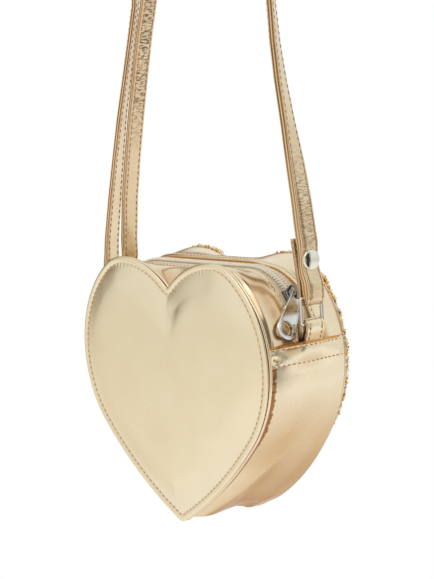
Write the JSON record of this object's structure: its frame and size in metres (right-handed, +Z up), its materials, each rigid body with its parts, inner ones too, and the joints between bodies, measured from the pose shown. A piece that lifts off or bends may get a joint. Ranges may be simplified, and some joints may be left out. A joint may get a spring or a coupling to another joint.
{
  "type": "heart shaped purse",
  "caption": "Heart shaped padded shoulder bag with a gusset, a zip over the top, a stone-covered front panel and an adjustable flat strap on side rings.",
  "frame": {"origin": "under the top bend of the strap, where it rests on the hook or shoulder it hangs from", "axes": "+Z up, +X towards the side with the zip slider at rest, -Y out of the plain back panel, +Y out of the stone-covered front panel"},
  "size_m": [0.1508, 0.0604, 0.4174],
  "materials": {
    "board": "stiff board",
    "dark_nickel": "dark polished plating",
    "foam": "soft foam",
    "gold_leather": "metallic coated leather, soft sheen",
    "lining": "thin woven lining",
    "nickel": "polished plating",
    "piping": "metallic coated leather over a cord",
    "stones": "cut acrylic stones in amber, clear and brown on a backing sheet",
    "strap_leather": "metallic coated leather, fine grain",
    "zip_coil": "moulded coil",
    "zip_tape": "woven tape"
  },
  "bodies": {
    "strap": {"strap_main": "strap_leather", "strap_return_run": "strap_leather", "rivet_cap": "nickel", "rivet_post": "nickel", "rivet_back_cap": "nickel"},
    "right_ring": {"ring_right": "nickel"},
    "left_ring": {"ring_left": "nickel"},
    "slider": {"zip_slider_body": "dark_nickel", "zip_slider_bridge": "dark_nickel"},
    "pull": {"zip_pull": "nickel"},
    "adjuster": {"adjuster_frame": "nickel", "adjuster_pin": "nickel", "strap_end_loop": "strap_leather"},
    "bag": {"back_panel_skin": "gold_leather", "back_panel_foam": "foam", "back_panel_board": "board", "back_panel_lining": "lining", "back_seam_piping": "piping", "front_panel_skin": "gold_leather", "front_panel_foam": "foam", "front_panel_board": "board", "front_panel_lining": "lining", "front_seam_piping": "piping", "front_stone_sheet": "stones", "lower_gusset": "gold_leather", "lower_gusset_lining": "lining", "gusset_hem_right": "gold_leather", "gusset_hem_left": "gold_leather", "zip_strip_back": "gold_leather", "zip_strip_lining_back": "lining", "zip_tape_back": "zip_tape", "zip_coil_back": "zip_coil", "zip_strip_front": "gold_leather", "zip_strip_lining_front": "lining", "zip_tape_front": "zip_tape", "zip_coil_front": "zip_coil", "zip_stop_right": "nickel", "zip_stop_left": "nickel", "ring_tab_right": "gold_leather", "ring_tab_left": "gold_leather"}
  },
  "joints": [
    {"name": "ring_right_swing", "type": "hinge", "parent": "strap", "child": "right_ring", "pos_m": [0.05129, 0, -0.30751], "axis": [0, 1, 0], "range_deg": [-14, 14]},
    {"name": "bag_hang", "type": "hinge", "parent": "right_ring", "child": "bag", "pos_m": [0.05129, 0, -0.31921], "axis": [0, 1, 0], "range_deg": [-14, 14]},
    {"name": "ring_left_swing", "type": "hinge", "parent": "strap", "child": "left_ring", "pos_m": [-0.09213, 0, -0.30751], "axis": [0, 1, 0], "range_deg": [-14, 14]},
    {"name": "zip_travel", "type": "hinge", "parent": "bag", "child": "slider", "pos_m": [0.01352, 0, -0.32465], "axis": [0, -1, 0], "range_deg": [0, 38]},
    {"name": "pull_swing", "type": "hinge", "parent": "slider", "child": "pull", "pos_m": [0.04127, 0, -0.30754], "axis": [-0.9397, 0, -0.342], "range_deg": [0, 60]},
    {"name": "adjuster_slide", "type": "slide", "parent": "strap", "child": "adjuster", "axis": [0.2717, 0, 0.9624], "range_m": [-0.06, 0.05], "deforming": ["strap_return_run"]}
  ],
  "couplings": [
    {"joint": "bag_hang", "follows": "ring_right_swing", "ratio": -1},
    {"joint": "ring_left_swing", "follows": "ring_right_swing", "ratio": 1}
  ]
}
